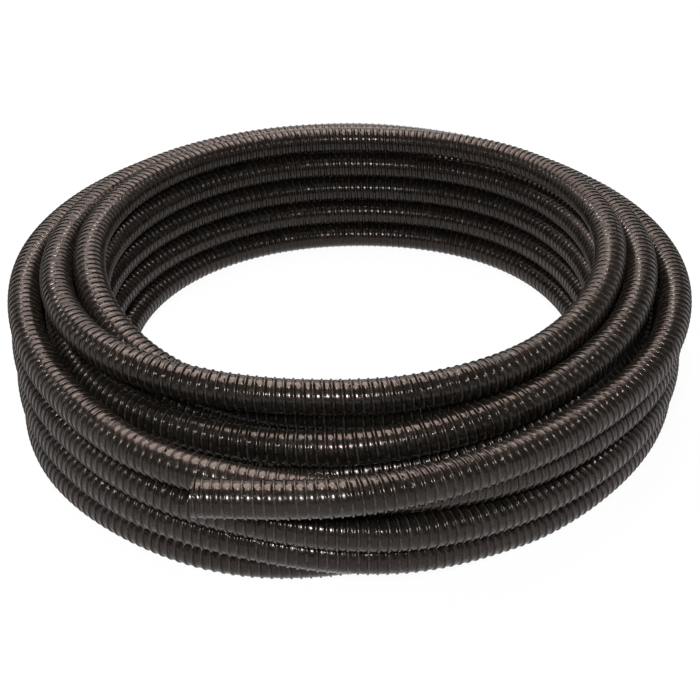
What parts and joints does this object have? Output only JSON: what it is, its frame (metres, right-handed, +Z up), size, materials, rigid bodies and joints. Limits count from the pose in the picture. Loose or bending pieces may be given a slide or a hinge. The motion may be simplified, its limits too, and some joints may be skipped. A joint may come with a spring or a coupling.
{
  "type": "sewer hose coil",
  "caption": "Free lying coil of flexible ribbed sewer hose, plain square cut ends, wound in piled loops for storage.",
  "frame": {"origin": "on the ground under the middle of the coil's box", "axes": "+Z up, square to the ground the coil lies on; the loops cross over at -Y, where the outer cut end lies too; -X is towards the mouth of that end"},
  "size_m": [0.7204, 0.7726, 0.1838],
  "materials": {
    "hose_pvc": "glossy dark brown flexible PVC with a rigid rib"
  },
  "bodies": {
    "root": {"outer_end_hose": "hose_pvc", "outer_lap_hose": "hose_pvc", "coil_hose": "hose_pvc", "inner_end_hose": "hose_pvc"}
  },
  "joints": []
}
